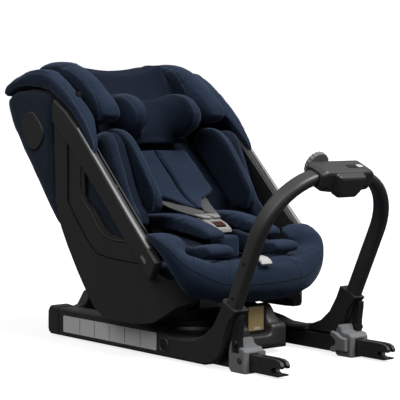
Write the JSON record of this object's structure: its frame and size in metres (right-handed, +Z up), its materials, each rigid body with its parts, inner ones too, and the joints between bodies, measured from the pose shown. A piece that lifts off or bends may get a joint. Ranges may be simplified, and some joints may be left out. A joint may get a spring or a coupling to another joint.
{
  "type": "rotating child car seat",
  "caption": "Child car seat that swivels and reclines on an anchor base, with padded harness seat, height-adjustable headrest and a rebound bar.",
  "frame": {"origin": "on the turntable's vertical axis, level with the underside of the base", "axes": "+Z up; the seat faces -Y, towards the anchor arms and the rebound bar; +X is the seated child's left"},
  "size_m": [0.444, 0.8657, 0.592],
  "materials": {
    "charcoal_plastic": "moulded, fine grain, matt",
    "satin_plastic": "moulded, satin",
    "grey_plastic": "moulded, satin light grey",
    "bare_steel": "zinc plated",
    "dark_steel": "black coated steel",
    "navy_fabric": "woven, padded, stitched",
    "mesh_fabric": "open knitted mesh over foam",
    "buckle_plastic": "warm light grey",
    "red_button": "dark red",
    "tab_webbing": "off-white woven tape"
  },
  "bodies": {
    "base": {"base_pan": "charcoal_plastic", "base_rail_left": "charcoal_plastic", "base_rail_right": "charcoal_plastic", "rail_cap_left": "charcoal_plastic", "rail_cap_right": "charcoal_plastic", "rear_bridge": "charcoal_plastic", "front_housing": "satin_plastic", "front_panel": "charcoal_plastic", "bearing_ring": "bare_steel", "isofix_bracket_left": "grey_plastic", "isofix_bracket_right": "grey_plastic", "rebound_post_left": "charcoal_plastic", "rebound_post_right": "charcoal_plastic"},
    "extend_button_left": {"extend_button_left": "charcoal_plastic"},
    "extend_button_right": {"extend_button_right": "charcoal_plastic"},
    "anchor_carriage": {"isofix_arm_left": "dark_steel", "isofix_arm_right": "dark_steel", "isofix_crossbar": "bare_steel"},
    "isofix_hook_left": {"isofix_hook_left": "bare_steel"},
    "isofix_hook_right": {"isofix_hook_right": "bare_steel"},
    "release_lever_left": {"release_lever_left": "grey_plastic"},
    "release_lever_right": {"release_lever_right": "grey_plastic"},
    "rebound_bar": {"rebound_tube": "satin_plastic", "rebound_housing": "satin_plastic"},
    "rebound_knob": {"rebound_knob": "satin_plastic"},
    "turntable": {"turntable_disc": "charcoal_plastic", "recline_cradle": "charcoal_plastic"},
    "rotation_lever": {"rotation_lever": "satin_plastic"},
    "seat": {"recline_runner": "bare_steel", "seat_shell": "charcoal_plastic", "upper_back_shell": "mesh_fabric", "side_cover_left": "charcoal_plastic", "side_cover_right": "charcoal_plastic", "inset_panel_left": "charcoal_plastic", "inset_panel_right": "charcoal_plastic", "side_strut_left": "satin_plastic", "side_strut_right": "satin_plastic", "impact_pad_left": "mesh_fabric", "impact_pad_right": "mesh_fabric", "seat_cushion": "navy_fabric", "back_cushion": "navy_fabric", "wing_cover_left": "navy_fabric", "wing_cover_right": "navy_fabric", "back_collar": "navy_fabric", "side_pad_left": "mesh_fabric", "side_pad_right": "mesh_fabric", "body_bolster_left": "navy_fabric", "body_bolster_right": "navy_fabric", "hip_bolster_left": "navy_fabric", "hip_bolster_right": "navy_fabric", "crotch_pad": "navy_fabric", "buckle_body": "buckle_plastic", "shoulder_pads": "navy_fabric"},
    "buckle_button": {"buckle_button": "red_button"},
    "harness_tab": {"harness_tab": "tab_webbing"},
    "recline_handle": {"recline_handle": "charcoal_plastic"},
    "headrest": {"headrest_core": "navy_fabric", "headrest_wing_left": "navy_fabric", "headrest_wing_right": "navy_fabric", "head_pillow": "navy_fabric"}
  },
  "joints": [
    {"name": "seat_rotation", "type": "hinge", "parent": "base", "child": "turntable", "pos_m": [0, 0, 0], "axis": [0, 0, 1], "continuous": true},
    {"name": "seat_recline", "type": "hinge", "parent": "turntable", "child": "seat", "pos_m": [0, -0.18, 0.34], "axis": [1, 0, 0], "range_deg": [0, 15]},
    {"name": "headrest_height", "type": "slide", "parent": "seat", "child": "headrest", "axis": [0, 0.7193, 0.6947], "range_m": [0, 0.12]},
    {"name": "isofix_extension", "type": "slide", "parent": "base", "child": "anchor_carriage", "axis": [0, 1, 0], "range_m": [0, 0.06]},
    {"name": "release_lever_left_slide", "type": "slide", "parent": "base", "child": "release_lever_left", "axis": [0, 1, 0], "range_m": [0, 0.008], "stiffness_N_per_m": 600},
    {"name": "isofix_hook_left_pivot", "type": "hinge", "parent": "anchor_carriage", "child": "isofix_hook_left", "pos_m": [0.14, -0.38, 0.023], "axis": [-1, 0, 0], "range_deg": [0, 20]},
    {"name": "extend_button_left_press", "type": "slide", "parent": "base", "child": "extend_button_left", "axis": [-1, 0, 0], "range_m": [0, 0.004], "stiffness_N_per_m": 900},
    {"name": "release_lever_right_slide", "type": "slide", "parent": "base", "child": "release_lever_right", "axis": [0, 1, 0], "range_m": [0, 0.008], "stiffness_N_per_m": 600},
    {"name": "isofix_hook_right_pivot", "type": "hinge", "parent": "anchor_carriage", "child": "isofix_hook_right", "pos_m": [-0.14, -0.38, 0.023], "axis": [-1, 0, 0], "range_deg": [0, 20]},
    {"name": "extend_button_right_press", "type": "slide", "parent": "base", "child": "extend_button_right", "axis": [1, 0, 0], "range_m": [0, 0.004], "stiffness_N_per_m": 900},
    {"name": "rebound_bar_slide", "type": "slide", "parent": "base", "child": "rebound_bar", "axis": [0, -0.4237, 0.9058], "range_m": [0, 0.05]},
    {"name": "rebound_knob_turn", "type": "hinge", "parent": "rebound_bar", "child": "rebound_knob", "pos_m": [-0.034, -0.42739, 0.37057], "axis": [0, -0.9058, -0.4237], "range_deg": [0, 90]},
    {"name": "rotation_lever_pull", "type": "hinge", "parent": "turntable", "child": "rotation_lever", "pos_m": [0, -0.0965, 0.0795], "axis": [-1, 0, 0], "range_deg": [0, 15], "stiffness_Nm_per_rad": 1.2},
    {"name": "buckle_button_press", "type": "slide", "parent": "seat", "child": "buckle_button", "axis": [0, 0.3011, -0.9536], "range_m": [0, 0.003], "stiffness_N_per_m": 900},
    {"name": "harness_tab_lift", "type": "hinge", "parent": "seat", "child": "harness_tab", "pos_m": [0, -0.197, 0.189], "axis": [1, 0, 0], "range_deg": [-25, 0], "stiffness_Nm_per_rad": 0.15},
    {"name": "recline_handle_pull", "type": "slide", "parent": "seat", "child": "recline_handle", "axis": [0, -1, 0], "range_m": [0, 0.01], "stiffness_N_per_m": 500}
  ],
  "couplings": [
    {"joint": "isofix_hook_left_pivot", "follows": "release_lever_left_slide", "rad_per_m": 43},
    {"joint": "isofix_hook_right_pivot", "follows": "release_lever_right_slide", "rad_per_m": 43}
  ]
}
